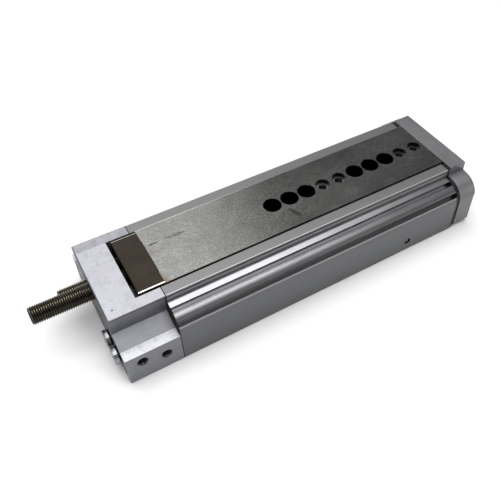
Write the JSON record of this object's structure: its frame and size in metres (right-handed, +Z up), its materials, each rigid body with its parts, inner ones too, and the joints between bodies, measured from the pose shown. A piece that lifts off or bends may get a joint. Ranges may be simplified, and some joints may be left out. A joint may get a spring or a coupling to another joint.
{
  "type": "pneumatic slide table",
  "caption": "Pneumatic slide table: ball-guided steel slide in a shouldered aluminium housing, yoke on the piston rod, rear stop screws and side ports.",
  "frame": {"origin": "centre of the housing's base face, midway between the end block's rear face and the yoke's front", "axes": "+X along the travel towards the yoke, +Z up out of the slide's top face, -Y the side with the air ports"},
  "size_m": [0.2275, 0.0714, 0.035],
  "materials": {
    "anodised_aluminium": "natural anodised, extruded",
    "brushed_aluminium": "milled, natural anodised",
    "yoke_aluminium": "milled, natural anodised",
    "strip_aluminium": "extruded cover strip",
    "piston_aluminium": "turned",
    "ground_steel": "ground and lightly oiled",
    "burnished_steel": "browned, smooth",
    "hardened_steel": "hardened and ground",
    "dark_steel": "black oxide",
    "zinc_steel": "zinc plated",
    "bright_steel": "hard chromed or polished",
    "nickel_plate": "nickel plated",
    "cage_brass": "stamped",
    "gland_bronze": "sintered",
    "black_rubber": "matt",
    "seal_rubber": "matt",
    "black_plastic": "moulded, fine grain",
    "guide_plastic": "bearing tape",
    "magnet": "plastic bonded magnet"
  },
  "bodies": {
    "base": {"housing": "anodised_aluminium", "end_block": "brushed_aluminium", "end_block_gasket": "black_rubber", "end_block_screws": "zinc_steel", "raceway_near": "hardened_steel", "raceway_far": "hardened_steel", "slot_strip_near_upper": "strip_aluminium", "slot_strip_near_lower": "strip_aluminium", "slot_strip_far_upper": "strip_aluminium", "slot_strip_far_lower": "strip_aluminium", "port_plugs": "nickel_plate", "port_plug_seals": "black_rubber", "passage_ball": "hardened_steel", "stop_clamp_screws": "dark_steel", "rear_bumper": "black_rubber", "rod_gland": "gland_bronze", "gland_o_ring": "black_rubber", "rod_seal": "seal_rubber", "gland_retaining_ring": "dark_steel", "front_cover": "black_plastic", "front_cover_screws": "dark_steel"},
    "slide": {"slide_rail": "ground_steel", "tail_plate": "burnished_steel", "tail_screws": "dark_steel", "yoke_plate": "yoke_aluminium", "yoke_screws": "zinc_steel", "yoke_dowels": "bright_steel", "piston_rod": "bright_steel", "rod_screw": "zinc_steel", "rod_screw_washer": "bright_steel", "piston": "piston_aluminium", "piston_nut": "zinc_steel", "piston_seals": "seal_rubber", "piston_magnet": "magnet", "piston_guide_ring": "guide_plastic"},
    "cage_near": {"ball_cage_near": "cage_brass", "balls_near": "bright_steel"},
    "cage_far": {"ball_cage_far": "cage_brass", "balls_far": "bright_steel"},
    "retract_screw": {"retract_stop": "dark_steel", "retract_bumper": "black_rubber"},
    "advance_screw": {"advance_stop": "dark_steel", "advance_stop_head": "dark_steel", "advance_bumper": "black_rubber"}
  },
  "joints": [
    {"name": "slide_travel", "type": "slide", "parent": "base", "child": "slide", "axis": [1, 0, 0], "range_m": [0, 0.08]},
    {"name": "cage_near_travel", "type": "slide", "parent": "base", "child": "cage_near", "axis": [1, 0, 0], "range_m": [0, 0.04]},
    {"name": "cage_far_travel", "type": "slide", "parent": "base", "child": "cage_far", "axis": [1, 0, 0], "range_m": [0, 0.04]},
    {"name": "retract_stop_adjust", "type": "slide", "parent": "base", "child": "retract_screw", "axis": [1, 0, 0], "range_m": [-0.005, 0]},
    {"name": "advance_stop_adjust", "type": "slide", "parent": "base", "child": "advance_screw", "axis": [1, 0, 0], "range_m": [0, 0.005]}
  ],
  "couplings": [
    {"joint": "cage_near_travel", "follows": "slide_travel", "ratio": 0.5},
    {"joint": "cage_far_travel", "follows": "slide_travel", "ratio": 0.5}
  ]
}
